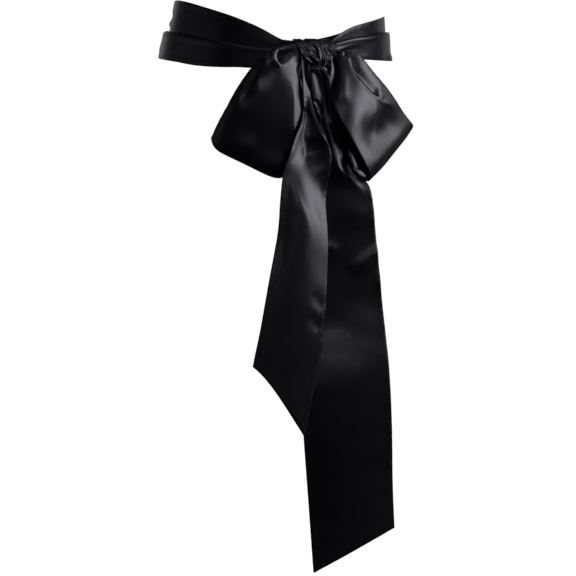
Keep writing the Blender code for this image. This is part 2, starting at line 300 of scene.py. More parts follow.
# slope: the same, but the cloth steps by the height from the left of the line to its right, and comes back
# slowly over the distance given last
slope = namedtuple("slope", "path height left right rise sink back")


def smoothCurve(knots, values, at):
    knots = np.asarray(knots, float)
    values = np.asarray(values, float)
    slopes = np.gradient(values, knots, axis=0)
    first = np.clip(np.searchsorted(knots, at, side="right") - 1, 0, len(knots) - 2)
    span = knots[first + 1] - knots[first]
    part = (at - knots[first]) / span
    if values.ndim > 1:
        part = part[..., None]
        span = span[..., None]
    return (
        (2 * part**3 - 3 * part**2 + 1) * values[first]
        + (part**3 - 2 * part**2 + part) * span * slopes[first]
        + (3 * part**2 - 2 * part**3) * values[first + 1]
        + (part**3 - part**2) * span * slopes[first + 1]
    )


def eased(values, reach):
    # takes the kinks out along the rows, with the two ends kept
    weights = np.exp(-(np.linspace(-2, 2, 4 * reach + 1) ** 2))  # a bell over twice the reach to each side
    weights /= weights.sum()
    side = 2 * reach
    before = 2 * values[:1] - values[side:0:-1]
    after = 2 * values[-1:] - values[-2 : -side - 2 : -1]
    padded = np.concatenate([before, values, after])
    smooth = np.zeros_like(values)
    for k, weight in enumerate(weights):
        smooth += weight * padded[k : k + len(values)]
    return smooth


def unitOf(vectors):
    return vectors / np.maximum(np.linalg.norm(vectors, axis=-1, keepdims=True), 1e-9)


def normalsOf(grid, side=1):
    return side * unitOf(np.cross(np.gradient(grid, axis=0), np.gradient(grid, axis=1)))


def softStep(value):
    value = np.clip(value, 0, 1)
    return value * value * (3 - 2 * value)


def measureGrid(grid):
    # how far along and across the cloth each point lies, in mm
    steps = np.linalg.norm(np.diff(grid, axis=0), axis=-1)
    along = np.concatenate([[0.0], np.cumsum(steps.mean(axis=1))])
    edges = np.linalg.norm(np.diff(grid, axis=1), axis=-1)
    across = np.concatenate([np.zeros((len(grid), 1)), np.cumsum(edges, axis=1)], axis=1)
    across -= across[:, -1:] / 2
    return np.repeat(along[:, None], grid.shape[1], axis=1), across


def foldLift(place, along, sideways, folds, fullWidth=cloth["ribbonWidth"]):
    # how far the folds raise each point: every fold is a soft ridge on both sides of its line
    lift = np.zeros_like(along)
    width = sideways[:, -1] - sideways[:, 0]
    # folds are smaller where the ribbon is narrow
    scale = np.clip(width / fullWidth, *cloth["foldShare"])[:, None] ** 0.5
    for item in folds:
        points = np.array(item.path, float)
        count = cloth["linePoints"] * (len(points) - 1) + 1
        line = smoothCurve(np.arange(len(points)), points, np.linspace(0, len(points) - 1, count))
        lineAlong = np.interp(line[:, 0], place, along[:, 0])
        lineSide = (line[:, 1] - 0.5) * np.interp(line[:, 0], place, width)
        lengths = np.hypot(np.diff(lineAlong), np.diff(lineSide))
        travelled = np.concatenate([[0.0], np.cumsum(lengths)]) / lengths.sum()
        nearest = np.full(along.shape, 1e9)
        side = np.zeros_like(along)
        run = np.zeros_like(along)
        for k, length in enumerate(lengths):
            stepAlong = lineAlong[k + 1] - lineAlong[k]
            stepSide = lineSide[k + 1] - lineSide[k]
            offAlong = along - lineAlong[k]
            offSide = sideways - lineSide[k]
            part = np.clip((offAlong * stepAlong + offSide * stepSide) / length**2, 0, 1)
            away = np.hypot(offAlong - part * stepAlong, offSide - part * stepSide)
            closer = away < nearest
            nearest = np.where(closer, away, nearest)
            side = np.where(closer, offSide * stepAlong - offAlong * stepSide, side)
            run = np.where(closer, travelled[k] + part * (travelled[k + 1] - travelled[k]), run)
        fade = item.height * scale * softStep(run / item.rise) * softStep((1 - run) / item.sink)
        if isinstance(item, slope):
            away = np.where(side > 0, nearest, -nearest) / scale
            part = softStep((away + item.left) / (item.left + item.right))
            lift += fade * part * np.exp(-((np.maximum(away - item.right, 0) / item.back) ** 2))
        else:
            reach = np.where(side > 0, item.right, item.left) * scale
            lift += fade * np.exp(-((nearest / reach) ** 2))
    return lift


def gatherLift(start, across, width, gathers):
    # pleats that run out from the knot, no two alike: start counts rows from the knot
    dice = random.Random(gathers["seed"])
    count = gathers["count"]
    lift = np.zeros_like(across)
    for k in range(count):
        middle = (k + 0.5 + dice.uniform(-pleatSwing["place"], pleatSwing["place"])) / count
        half = dice.uniform(*pleatSwing["width"]) / count
        reach = gathers["reach"] * dice.uniform(*pleatSwing["reach"])
        height = gathers["height"] * dice.uniform(*pleatSwing["height"])
        drift = dice.uniform(-pleatSwing["drift"], pleatSwing["drift"]) * start
        fade = softStep(1 - start / reach)
        lift += height * fade * np.exp(-(((across - middle - drift) / half) ** 2))
    return lift * np.clip(width / count / gathers["height"] / cloth["pleatRoom"], 0, 1)


def waveLift(along, sideways, seed):
    # the faint unevenness that no cloth is without
    lift = np.zeros_like(along)
    swing, distance = cloth["waveDrift"]
    for k, (length, turn, height) in enumerate(cloth["waves"]):
        course = along * math.cos(turn) + sideways * math.sin(turn)
        start = seed * 1.7 + k * 2.1  # so that no two waves start alike
        phase = start + swing * np.sin(along / distance + seed)
        lift += height * np.sin(2 * math.pi * course / length + phase)
    return lift


def puckerLift(along, sideways, seed):
    # the seams along the edges draw the cloth in a little
    lift = np.zeros_like(along)
    drift, driftDistance = cloth["puckerDrift"]
    mean, swell, swellDistance = cloth["puckerSwell"]
    for side in (-1, 1):
        inset = np.abs(sideways[:, -1:] - side * sideways)
        wave = np.sin(along / cloth["puckerPitch"] + drift * np.sin(along / driftDistance + seed) + side)
        height = mean + swell * np.sin(along / swellDistance + side)
        lift += wave * height * np.exp(-((inset / cloth["puckerReach"]) ** 2))
    return cloth["puckerHeight"] * lift


def shellMesh(name, grid):
    # a wall on the grid, thicker over the seam allowances, with a round rim all the way
    count, width = grid.shape[:2]
    normals = normalsOf(grid)
    along, sideways = measureGrid(grid)
    inset = np.minimum(sideways - sideways[:, :1], sideways[:, -1:] - sideways)
    seam = softStep(cloth["seamFall"] * (1 - inset / cloth["seamWidth"]))
    half = (cloth["thickness"] + (cloth["seamThickness"] - cloth["thickness"]) * seam) / 2
    outer = grid + normals * half[..., None]
    inner = grid - normals * half[..., None]
    # ring: all the way round the grid's edge
    ring = [(i, 0) for i in range(count)] + [(count - 1, k) for k in range(1, width)]
    ring += [(i, width - 1) for i in range(count - 2, -1, -1)] + [(0, k) for k in range(width - 2, 0, -1)]
    down = unitOf(np.gradient(grid, axis=0))
    over = unitOf(np.gradient(grid, axis=1))
    rim = []
    for i, k in ring:
        away = over[i, k] * ((k == width - 1) - (k == 0)) + down[i, k] * ((i == count - 1) - (i == 0))
        rim.append(grid[i, k] + unitOf(away) * half[i, k])
    points = np.concatenate([outer.reshape(-1, 3), inner.reshape(-1, 3), np.array(rim)]) * mm
    index = np.arange(count * width).reshape(count, width)
    a, b, c, d = index[:-1, :-1], index[1:, :-1], index[1:, 1:], index[:-1, 1:]
    front = np.stack([a, b, c, d], axis=-1).reshape(-1, 4)
    back = np.stack([a, d, c, b], axis=-1).reshape(-1, 4) + count * width
    edge = np.array([index[i, k] for i, k in ring])
    edgeNext = np.roll(edge, -1)
    rimIndex = np.arange(len(ring)) + 2 * count * width
    rimNext = np.roll(rimIndex, -1)
    rimFront = np.stack([edge, rimIndex, rimNext, edgeNext], axis=-1)
    rimBack = np.stack([edge, edgeNext, rimNext, rimIndex], axis=-1)
    rimBack[:, :2] += count * width
    faces = np.concatenate([front, back, rimFront, rimBack])
    mesh = bpy.data.meshes.new(name)
    mesh.from_pydata(points.tolist(), [], faces.tolist())
    flat = np.stack([sideways, along], axis=-1).reshape(-1, 2)
    rimFlat = np.array([flat[index[i, k]] for i, k in ring])
    flat = np.concatenate([flat, flat, rimFlat]) * mm
    layer = mesh.uv_layers.new(name="cloth")
    layer.data.foreach_set("uv", flat[faces.reshape(-1)].reshape(-1).astype(np.float32))
    mesh.shade_smooth()
    mesh.update()
    return mesh


def addCloth(name, grid, node):
    mesh = shellMesh(name, grid)
    mesh.materials.append(blackSatin)
    item = bpy.data.objects.new(name, mesh)
    bpy.context.scene.collection.objects.link(item)
    bpy.ops.object.select_all(action="DESELECT")
    item.select_set(True)
    bpy.context.view_layer.objects.active = item
    bpy.ops.object.mode_set(mode="EDIT")
    bpy.ops.mesh.select_all(action="SELECT")
    bpy.ops.mesh.normals_make_consistent(inside=False)
    bpy.ops.object.mode_set(mode="OBJECT")
    if node:
        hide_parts(node)
    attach(item, "root")
    print(name, "made,", len(mesh.polygons), "faces")


def ribbonGrid(piece, side=1, loop=False):
    # side turns round which way the sheet stands out; a loop is gathered at its other end as well
    rows = piece["rows"]
    last = len(rows) - 1
    knots = np.arange(last + 1)
    first = np.array([item.first for item in rows], float)
    second = np.array([item.second for item in rows], float)
    belly = [item.belly for item in rows]
    middle = (first + second) / 2
    length = np.linalg.norm(np.diff(middle, axis=0), axis=1).sum()
    fullWidth = piece.get("fullWidth", cloth["ribbonWidth"])
    step = piece.get("step", cloth["step"])
    count = int(length / step)
    width = int(fullWidth / step)
    part = np.linspace(0, 1, count)
    place, across = np.meshgrid(part * last, np.linspace(0, 1, width), indexing="ij")
    level = place[:, 0]
    if "cut" in piece:  # the short edge ends before the long one
        run = np.linalg.norm(first[-1] - first[-2])
        short = across if piece["leftLonger"] else 1 - across
        turn = np.clip((part - piece["slantFrom"]) / (1 - piece["slantFrom"]), 0, 1) ** cloth["slantCurve"]
        place = place - short * piece["cut"] / run * turn[:, None]
    base = smoothCurve(knots, first, place)
    base += (smoothCurve(knots, second, place) - base) * across[..., None]
    crown = 1 - np.abs(2 * across - 1) ** piece["crown"]
    base += normalsOf(base, side) * (smoothCurve(knots, belly, place) * crown)[..., None]
    base = eased(base, int(cloth["easing"] * count / last))
    along, sideways = measureGrid(base)
    span = sideways[:, -1:] - sideways[:, :1]
    lift = foldLift(level, along, sideways, piece["folds"], fullWidth)
    if "gathers" in piece:
        lift += gatherLift(place, across, span, piece["gathers"])
        lift += puckerLift(along, sideways, piece["seed"])
    if loop:
        lift += gatherLift(last - place, across, span, piece["gathersBehind"])
    lift += waveLift(along, sideways, piece["seed"]) * np.clip(span / cloth["ribbonWidth"], 0, 1)
    return base + normalsOf(base, side) * lift[..., None]


# left loop: the front layer is rows 0 to 9, the end fold row 9, and the back layer the rest
# the first edge is the outer one
leftLoop = {
    "flat": (0.100, 0.330),  # width and length laid flat, in metres
    "seed": 1,
    "crown": 8,  # 2 is a round belly, more is flatter with rounder edges
    "rows": (
        row((-2, -139.6, -16.8), (-2, -138.4, -35.5), 0),
        row((-21, -140.2, -17), (-15, -139, -36), 0),
        row((-35, -140.6, -19), (-23, -139, -50), 1),
        row((-53, -141, -23), (-17, -137, -66), 5),
        row((-71, -140, -35), (-12, -136, -84), 9),
        row((-88, -136, -56), (-13, -137, -103), 11),
        row((-102, -131, -80), (-18, -139, -123), 11),
        row((-112, -126, -103), (-26, -141, -142), 9),
        row((-118, -121, -119), (-35, -142, -158), 9),
        row((-120, -117, -123), (-37, -139, -164), 11),
        row((-117, -113, -119), (-36, -134, -160), 7),
        row((-108, -112, -102), (-31, -130, -142), 5),
        row((-92, -113, -75), (-16, -125, -116), 5),
        row((-70, -115, -48), (-7, -124, -89), 3),
        row((-46, -117, -28), (-6, -123, -66), 1),
        row((-29, -121, -19), (-10, -124, -50), 0),
        row((-19, -124, -16.5), (-14, -124, -37), 0),
        row((-2, -124, -16), (-2, -124, -36), 0),
    ),
    # pleats that run out from the knot: height in mm, reach in rows
    "gathers": {"count": 5, "height": 0.6, "reach": 2.6, "seed": 11},
    "gathersBehind": {"count": 7, "height": 2.4, "reach": 5.0, "seed": 12},
    "folds": (
        # the ear under the top edge, and its rolled rim
        fold(((1.7, 0.27), (2.6, 0.23), (3.35, 0.18)), -10.5, 6, 5.5, 0.8, 0.12),
        fold(((2.3, 0.03), (3.25, 0.07), (3.6, 0.18), (3.4, 0.31), (2.8, 0.38)), 1.4, 2.5, 3, 0.2, 0.4),
        # a ridge beside the inner edge, which rolls away
        fold(
            ((3.3, 0.60), (4.1, 0.62), (4.6, 0.66), (5.3, 0.71), (5.9, 0.77), (6.6, 0.84), (7.3, 0.91)),
            2.9, 10, 7, 0.3, 0.12,
        ),
        # streaks along the outer edge
        fold(((3.9, 0.11), (4.7, 0.10), (5.4, 0.12), (6.2, 0.14)), -4.4, 4.2, 9, 0.3, 0.4),
        fold(((3.4, 0.22), (4.1, 0.21), (5.2, 0.24)), -2.8, 4.0, 10, 0.4, 0.5),
        fold(((7.9, 0.20), (7.8, 0.38), (7.6, 0.56)), 2.6, 10, 14, 0.4, 0.4),
        # long soft swells on the face
        fold(((4.0, 0.30), (6.0, 0.36), (8.6, 0.42)), 1.0, 14, 20, 0.4, 0.5),
        # behind
        fold(((16.2, 0.30), (14.0, 0.30), (11.5, 0.34)), 3.5, 10, 10, 0.2, 0.7),
        fold(((16.2, 0.62), (14.2, 0.62), (12.0, 0.70)), -3.5, 9, 10, 0.2, 0.7),
        fold(((16.2, 0.82), (14.6, 0.84), (12.8, 0.88)), 2.5, 8, 8, 0.2, 0.6),
    ),
}
addCloth("leftLoop", ribbonGrid(leftLoop, loop=True), "bow_loop_left")

# right loop: the front layer is rows 0 to 10, the end fold row 10; the first edge is the outer one
rightLoop = {
    "flat": (0.100, 0.320),
    "seed": 2,
    "crown": 3,
    "rows": (
        row((2, -136.3, -19.5), (2, -135, -35.5), 0),
        row((20, -138.0, -24), (15, -135, -36), 0),
        row((31, -140.5, -25.2), (14, -141, -50), 2),
        row((42, -141, -25), (12, -145, -64), 3),
        row((54, -141, -35), (11, -154, -84), 4),
        row((67, -139, -49), (20, -162, -106), 4.5),
        row((83, -135, -64), (33, -162, -127), 4.5),
        row((100, -129, -83), (46, -160, -147), 4),
        row((116, -121, -99), (54, -156, -160), 3),
        row((124, -116, -106), (57, -151, -168), 2),
        row((126, -112, -109), (56, -144, -171), 4),
        row((123, -110, -105), (47, -135, -164), 3),
        row((108, -111, -89), (36, -129, -149), 4),
        row((88, -114, -69), (20, -123, -124), 4),
        row((66, -116, -47), (10, -121, -95), 3),
        row((44, -118, -29), (8, -121, -68), 1),
        row((29, -121, -25.5), (12, -123, -50), 0),
        row((19, -124, -23), (14, -124, -37), 0),
        row((2, -124, -19), (2, -124, -36), 0),
    ),
    "gathers": {"count": 6, "height": 2.0, "reach": 2.6, "seed": 21},
    "gathersBehind": {"count": 7, "height": 2.4, "reach": 5.0, "seed": 22},
    "folds": (
        # the crease under the top edge, and the rolled edge round its end
        fold(((2.3, 0.16), (3.75, 0.29), (4.55, 0.27), (5.35, 0.25), (5.85, 0.21)), -3.4, 9, 3, 0.25, 0.12),
        fold(((4.6, 0.33), (5.5, 0.30), (5.98, 0.22), (5.9, 0.09)), 0.9, 1.6, 1.6, 0.3, 0.3),
        # a wide dent across the face
        fold(
            (
                (5.3, 0.78), (6.0, 0.71), (6.6, 0.65), (6.98, 0.56),
                (7.18, 0.43), (7.19, 0.28), (7.0, 0.13), (6.7, 0.03),
            ),
            -7.2, 23, 26, 0.4, 0.3,
        ),
        # short pleats in its drawn-up edge
        fold(((1.0, 0.02), (1.3, 0.22), (1.8, 0.50)), -3.6, 6, 5, 0.1, 0.7),
        fold(((1.42, 0.0), (1.6, 0.12), (1.75, 0.24)), -2.2, 4, 5, 0.1, 0.6),
        fold(((2.0, 0.0), (2.2, 0.16), (2.6, 0.34)), -3.2, 6, 6, 0.1, 0.7),
        # the face turns inwards beside the knot
        fold(((1.8, 0.50), (2.8, 0.56), (3.7, 0.70), (4.6, 0.86)), 3.0, 12, 12, 0.3, 0.3),
        fold(((1.0, 0.86), (2.4, 0.84), (3.8, 0.92)), -4.0, 12, 12, 0.2, 0.4),
        # behind
        fold(((17.2, 0.30), (15.0, 0.30), (12.5, 0.34)), 3.5, 10, 10, 0.2, 0.7),
        fold(((17.2, 0.62), (15.2, 0.62), (13.0, 0.70)), -3.5, 9, 10, 0.2, 0.7),
        fold(((14.0, 0.90), (12.6, 0.86), (11.4, 0.86)), -3.5, 8, 10, 0.4, 0.5),
    ),
}
addCloth("rightLoop", ribbonGrid(rightLoop, -1, True), "bow_loop_right")

# the right loop's free edge curls over inside its opening
loopCurl = {
    "flat": (0.010, 0.046),
    "area": 0.00025,
    "seed": 13,
    "crown": 2,
    "fullWidth": 10.0,  # its own width
    "step": 0.5,  # and a finer mesh
    "rows": (
        row((29.4, -152.0, -132), (31.0, -151.6, -132), 0),
        row((29.8, -154.5, -139), (36.6, -152.8, -139), 0.4),
        row((31.8, -155.6, -148), (39.0, -153.8, -148), 0.5),
        row((35.4, -156.0, -156.5), (40.6, -154.6, -156.5), 0.3),
        row((39.0, -156.4, -162), (46.6, -154.4, -161), 0.5),
        row((43.8, -155.6, -166.5), (50.8, -153.6, -166), 0.4),
        row((49.0, -153.0, -170), (52.5, -152.0, -170), 0.1),
    ),
    "folds": (
        fold(((0.8, 0.60), (2.0, 0.35), (3.2, 0.55)), 0.4, 1.8, 1.4, 0.3, 0.3),
        fold(((2.9, 0.2), (3.4, 0.8)), -1.2, 1.6, 1.6, 0.3, 0.3),
    ),
}
addCloth("loopCurl", ribbonGrid(loopCurl), None)

# short tail: it comes out in front of the loops' necks; the first edge is the left one
shortTail = {
    "flat": (0.100, 0.430),
    "area": 0.0295,  # without the slant and what is folded away in the neck
    "seed": 3,
    "crown": 2,
    "cut": 84.0,  # how much longer the right edge is than the left
    "leftLonger": False,
    "slantFrom": 0.6,
    "rows": (
        row((-22.0, -141.6, -30), (-20.8, -140.8, -30), 0),
        row((-22.2, -144.4, -46), (-20.4, -143.2, -46), 0.1),
        row((-22.2, -147, -58), (-18.6, -145.2, -58), 0.2),
        row((-22.4, -149.5, -70), (-14.6, -146.6, -70), 0.2),
        row((-22.4, -149.5, -82), (-12.4, -148.6, -82), -0.8),
        row((-22.5, -149, -94), (-10.6, -152, -94.5), -3),
        row((-26.5, -153, -108), (-4.8, -156, -109.5), -3.5),
        row((-35.4, -159, -123), (1.2, -159, -125), -3),
        row((-44, -164, -143), (5.6, -161.5, -141), -3.5),
        row((-51, -166.5, -165), (3.4, -164.5, -162), -1),
        row((-56, -169, -194), (1.4, -168, -191), 3),
        row((-60, -171, -229), (2, -170, -225), 5),
        row((-71, -172, -283), (-1, -170.5, -279), 5.5),
        row((-82, -173, -339), (-6, -170.5, -335), 4.5),
        row((-90, -173, -375), (-11, -170.5, -370), 3),
        row((-106, -172, -460), (-28.5, -169, -456), 2),
    ),
    "gathers": {"count": 2, "height": 0.3, "reach": 4.0, "seed": 31},
    "folds": (
        # the hollow below the knot, up to its rolled right edge
        fold(((5.4, 1.0), (7.0, 1.0), (8.4, 1.0), (9.8, 1.0)), 7.0, 24, 5, 0.25, 0.35),
        fold(
            ((3.9, 0.74), (5.0, 0.80), (6.0, 0.88), (7.0, 0.92), (8.0, 0.95), (9.0, 0.97)),
            3.3, 5, 4, 0.15, 0.5,
        ),
        fold(((3.6, 0.05), (4.3, 0.04), (5.0, 0.02)), 2.0, 9, 9, 0.3, 0.4),
        fold(((4.3, 0.50), (5.0, 0.36), (6.0, 0.29), (7.2, 0.36), (8.4, 0.52)), -2.6, 8, 12, 0.2, 0.6),
        fold(((8.0, 0.05), (9.0, 0.15), (9.9, 0.31), (10.6, 0.48), (11.4, 0.64)), 1.2, 10, 6, 0.3, 0.4),
        # the slope that crosses the tail from upper left to the right edge
        slope(
            (
                (5.8, 0.0), (6.7, 0.04), (7.5, 0.09), (8.3, 0.21), (9.3, 0.455),
                (9.9, 0.615), (10.55, 0.74), (11.0, 0.86), (11.7, 0.99),
            ),
            -6.3, 11, 26, 0.12, 0.3, 40,
        ),
        slope(
            ((8.8, 0.30), (9.8, 0.50), (10.8, 0.66), (11.8, 0.76), (12.8, 0.82)),
            -3.6, 20, 18, 0.3, 0.5, 50,
        ),
        # soft hollows across it, along its left edge and low down at its right edge
        fold(((7.7, 0.30), (7.75, 0.60), (7.7, 0.98)), -3.0, 14, 20, 0.3, 0.1),
        fold(((10.5, 0.14), (12.5, 0.13), (14.6, 0.12)), -0.8, 3, 8, 0.4, 0.4),
        fold(((7.5, 0.0), (8.5, 0.0), (9.5, 0.0), (11.2, 0.0), (12.6, 0.0)), -5.0, 10, 18, 0.2, 0.4),
        fold(((12.36, 0.70), (12.5, 0.84), (12.62, 0.98)), -0.9, 8, 9, 0.4, 0.2),
        fold(((12.84, 0.70), (12.98, 0.84), (13.08, 0.96)), -0.8, 8, 9, 0.4, 0.2),
    ),
}
addCloth("shortTail", ribbonGrid(shortTail), "tail_short")

# long tail: it comes out behind the short one
buckleLine = (
    (8.3, 1.4), (8.65, 1.0), (9.0, 0.83), (9.42, 0.72),
    (9.9, 0.54), (9.96, 0.3), (9.9, 0), (9.9, -0.5),
)
longTail = {
    "flat": (0.100, 0.605),
    "area": 0.0540,
    "seed": 4,
    "crown": 2,
    "cut": 48.0,  # how much longer the left edge is than the right
    "leftLonger": True,
    "slantFrom": 0.6,
    "rows": (
        row((-20, -128, -38.5), (13, -129, -38.5), 0),
        row((-21, -130, -60), (13, -131, -59), 0),
        row((-21, -131, -85), (14, -134, -84), 0),
        row((-21, -131, -110), (17.5, -139, -109), 0),
        row((-23, -131, -135), (24, -145.5, -133), 1),
        row((-26, -131, -158), (33, -148.5, -155), 2),
        row((-30, -129, -174), (55.5, -147.0, -173), 2),
        row((-31, -128, -191), (61.5, -145, -188), 3),
        row((-30, -127, -224), (66, -143, -220), 3),
        row((-25, -126, -293), (72, -144, -292), 1),
        row((-20, -126, -347), (76, -144, -346), 3),
        row((-14, -126, -445), (83, -144, -444), 4),
        row((-8, -126, -523), (87, -144, -522), 4),
        row((-1, -126, -616), (93, -144, -615), 3),
    ),
    "gathers": {"count": 5, "height": 2.4, "reach": 5.0, "seed": 41},
    "folds": (
        # a ridge along its right edge, which then rolls away beside the opening of the loop
        fold(((2.8, 0.86), (3.6, 0.82), (4.4, 0.79), (5.2, 0.79), (5.9, 0.82)), 10.0, 8, 12, 0.25, 0.3),
        slope(((4.4, 0.86), (5.3, 0.87), (6.0, 0.89), (7.1, 0.98)), -6.0, 6, 8, 0.3, 0.4, 60),
        fold(((8.9, 1.02), (9.6, 1.02), (10.6, 1.02)), -2.2, 18, 10, 0.2, 0.4),
        # a soft swell below the loop's corner
        fold(((6.5, 0.68), (7.3, 0.74), (8.2, 0.80)), 3.2, 18, 24, 0.6, 0.5),
        # the cloth buckles across the tail: two ridges, then a long slope below them with a sharper brim
        fold(((8.42, 0.24), (8.38, 0.42), (8.46, 0.58)), 2.4, 9, 7, 0.3, 0.4),
        fold(((8.72, 0.60), (8.66, 0.78), (8.5, 0.98), (8.45, 1.25)), 2.8, 10, 7, 0.35, 0.05),
        slope(buckleLine, 1.0, 1, 12, 0.03, 0.03, 90),
        slope(buckleLine, 12.5, 18, 66, 0.03, 0.03, 120),
    ),
}
addCloth("longTail", ribbonGrid(longTail), "tail_long")

# waist band: folded lengthwise once, so its section is three layers, from the top edge down behind,
# back up inside the pleat and down in front
bandRow = namedtuple("bandRow", "angle top pleat bottom tuck out lean")
bandPoint = namedtuple("bandPoint", "out top hidden pleat bottom higher")
waistBand = {
    "flat": (0.100, 0.730),
    "seed": 5,
    "halfWidth": 129.5,  # of the oval that it goes round
    "halfDepth": 104.0,
    "layerStep": 2.9,  # between the middles of two layers, at most
    "leastStep": 1.3,  # the same without a pleat
    "stepGrowth": 0.12,  # for each mm of the pleat's depth
    "stations": 420,  # cross sections round the waist
    "points": 84,  # in each cross section
    "crowding": 0.12,  # how much closer the cross sections stand near the knot
    "easing": 4,  # cross sections to each side
    "waveShare": 0.8,
    # angle round the waist from the knot, heights of the top edge, the folded edge and the bottom edge,
    # depth of the pleat, how far the band stands out, and how much it widens downwards
    "rows": (
        bandRow(3, -18, -21, -32, 4, 10, 0.05),
        bandRow(8.5, -16, -19, -32, 4, 10, 0),
        bandRow(14, -8, -15, -33, 6, 4.6, -0.1),
        bandRow(24, 3, -9, -31, 9, 1, -0.15),
        bandRow(38, 11, -5, -31, 14, 0, -0.12),
        bandRow(54, 17, 0, -31, 18, 0, -0.04),
        bandRow(72, 21, 3, -30, 18, 0, 0.05),
        bandRow(92, 20, 1, -27, 17, 0, 0.06),
        bandRow(110, 15, -4, -25, 14, 0, 0.065),
        bandRow(130, 4, -11, -31, 13, 0, 0.08),
        bandRow(150, -3, -17, -36, 12, 0, 0.1),
        bandRow(165, 0, -15, -36, 13, 0, 0.12),
        bandRow(180, 9, -10, -34, 16, 0, 0.14),
        bandRow(200, 22, -4, -33, 16, 0, 0.167),
        bandRow(230, 34, 2, -29, 16, 0, 0.2),
        bandRow(250, 37, 3, -28, 16, 0, 0.215),
        bandRow(268, 37, 1, -29, 16, 0, 0.22),
        bandRow(286, 33, -3, -34, 16, 0, 0.217),
        bandRow(304, 25, -9, -40, 15, 0, 0.206),
        bandRow(323, 13, -17, -42, 13, 0, 0.188),
        bandRow(336, 1, -22, -40, 9, 1, 0.17),
        bandRow(346, -11.5, -22, -36, 6, 4, 0.16),
        bandRow(351.5, -16.5, -22, -33, 4, 10, 0.15),
        bandRow(357, -18, -22, -32, 4, 10, 0.14),
    ),
    "section": (
        bandPoint(0.0, 1.00, 0.0, 0.00, 0.00, 0.0),
        bandPoint(0.1, 0.66, 0.0, 0.34, 0.00, 0.0),
        bandPoint(0.1, 0.30, 0.0, 0.70, 0.00, 0.0),
        bandPoint(0.0, 0.00, 0.5, 0.50, 0.00, 0.0),
        bandPoint(0.0, 0.00, 1.0, 0.00, 0.00, 0.0),
        bandPoint(0.5, 0.00, 1.0, 0.00, 0.00, -0.5),
        bandPoint(1.0, 0.00, 1.0, 0.00, 0.00, 0.0),
        bandPoint(1.0, 0.00, 0.5, 0.50, 0.00, 0.0),
        bandPoint(1.0, 0.00, 0.0, 1.00, 0.00, 0.0),
        bandPoint(1.5, 0.00, 0.0, 1.00, 0.00, 0.3),
        bandPoint(2.0, 0.00, 0.0, 1.00, 0.00, 0.0),
        bandPoint(2.0, 0.00, 0.0, 0.72, 0.28, 0.0),
        bandPoint(1.9, 0.00, 0.0, 0.40, 0.60, 0.0),
        bandPoint(1.7, 0.00, 0.0, 0.00, 1.00, 0.0),
    ),
    # the lines' first numbers are angles round the waist
    "folds": (
        # creases beside the knot
        fold(((12, 0.90), (20, 0.84), (34, 0.80)), 1.6, 6, 6, 0.2, 0.6),
        fold(((12, 0.78), (22, 0.76), (40, 0.74)), -1.2, 5, 6, 0.2, 0.6),
        fold(((14, 0.97), (24, 0.92), (30, 0.90)), -1.2, 5, 5, 0.2, 0.6),
        fold(((7, 0.58), (12, 0.60), (19, 0.66)), 1.8, 4, 5, 0.1, 0.6),
        fold(((348, 0.90), (330, 0.86), (306, 0.84)), 1.0, 7, 8, 0.2, 0.6),
        fold(((348, 0.15), (336, 0.16), (312, 0.14)), -1.2, 7, 9, 0.2, 0.6),
        # on the right the folded edge lies flatter and the bottom edge flares
        fold(((56, 0.66), (72, 0.66), (90, 0.66)), 1.5, 4, 7, 0.3, 0.3),
        fold(((58, 0.98), (72, 0.98), (88, 0.98)), -1.8, 6, 6, 0.3, 0.3),
        # on the left it is crushed a little
        fold(((222, 0.19), (240, 0.18), (252, 0.18), (268, 0.17)), 2.6, 4.5, 4.5, 0.55, 0.35),
        fold(((224, 0.26), (240, 0.245), (252, 0.24), (266, 0.24)), -1.2, 4.0, 4.0, 0.5, 0.35),
        fold(((226, 0.33), (241, 0.32), (255, 0.31), (270, 0.30)), 2.0, 4.0, 3.6, 0.5, 0.35),
        fold(((226, 0.71), (240, 0.70), (251, 0.69), (268, 0.69)), 1.8, 5, 7, 0.5, 0.35),
        fold(((226, 0.91), (240, 0.90), (251, 0.90), (262, 0.89)), -1.4, 7, 6, 0.5, 0.4),
    ),
}


def bandSection(item):
    step = min(waistBand["layerStep"], waistBand["leastStep"] + waistBand["stepGrowth"] * item.tuck)
    turn = math.radians(item.angle)
    points = []
    for point in waistBand["section"]:
        height = point.top * item.top + point.hidden * (item.pleat - item.tuck) + point.pleat * item.pleat
        height += point.bottom * item.bottom + point.higher * step
        grow = item.out + point.out * step - item.lean * height
        points.append(
            (
                (waistBand["halfWidth"] + grow) * math.sin(turn),
                -(waistBand["halfDepth"] + grow) * math.cos(turn),
                height,
            )
        )
    points = np.array(points)
    lengths = np.concatenate([[0.0], np.cumsum(np.linalg.norm(np.diff(points, axis=0), axis=1))])
    return smoothCurve(lengths, points, np.linspace(0, lengths[-1], waistBand["points"]))


def bandGrid():
    rows = waistBand["rows"]
    part = np.linspace(-1, 1, waistBand["stations"])
    spread = part + waistBand["crowding"] * np.sin(math.pi * part)
    angles = 180 + spread * (180 - rows[0].angle)
    table = smoothCurve([item.angle for item in rows], rows, angles)
    base = np.array([bandSection(bandRow(*item)) for item in table])
    base = eased(base, waistBand["easing"])
    along, sideways = measureGrid(base)
    lift = foldLift(angles, along, sideways, waistBand["folds"])
    lift += waistBand["waveShare"] * waveLift(along, sideways, waistBand["seed"])
    lift += puckerLift(along, sideways, waistBand["seed"])
    return base + normalsOf(base) * lift[..., None]


addCloth("waistBand", bandGrid(), "waist_band")

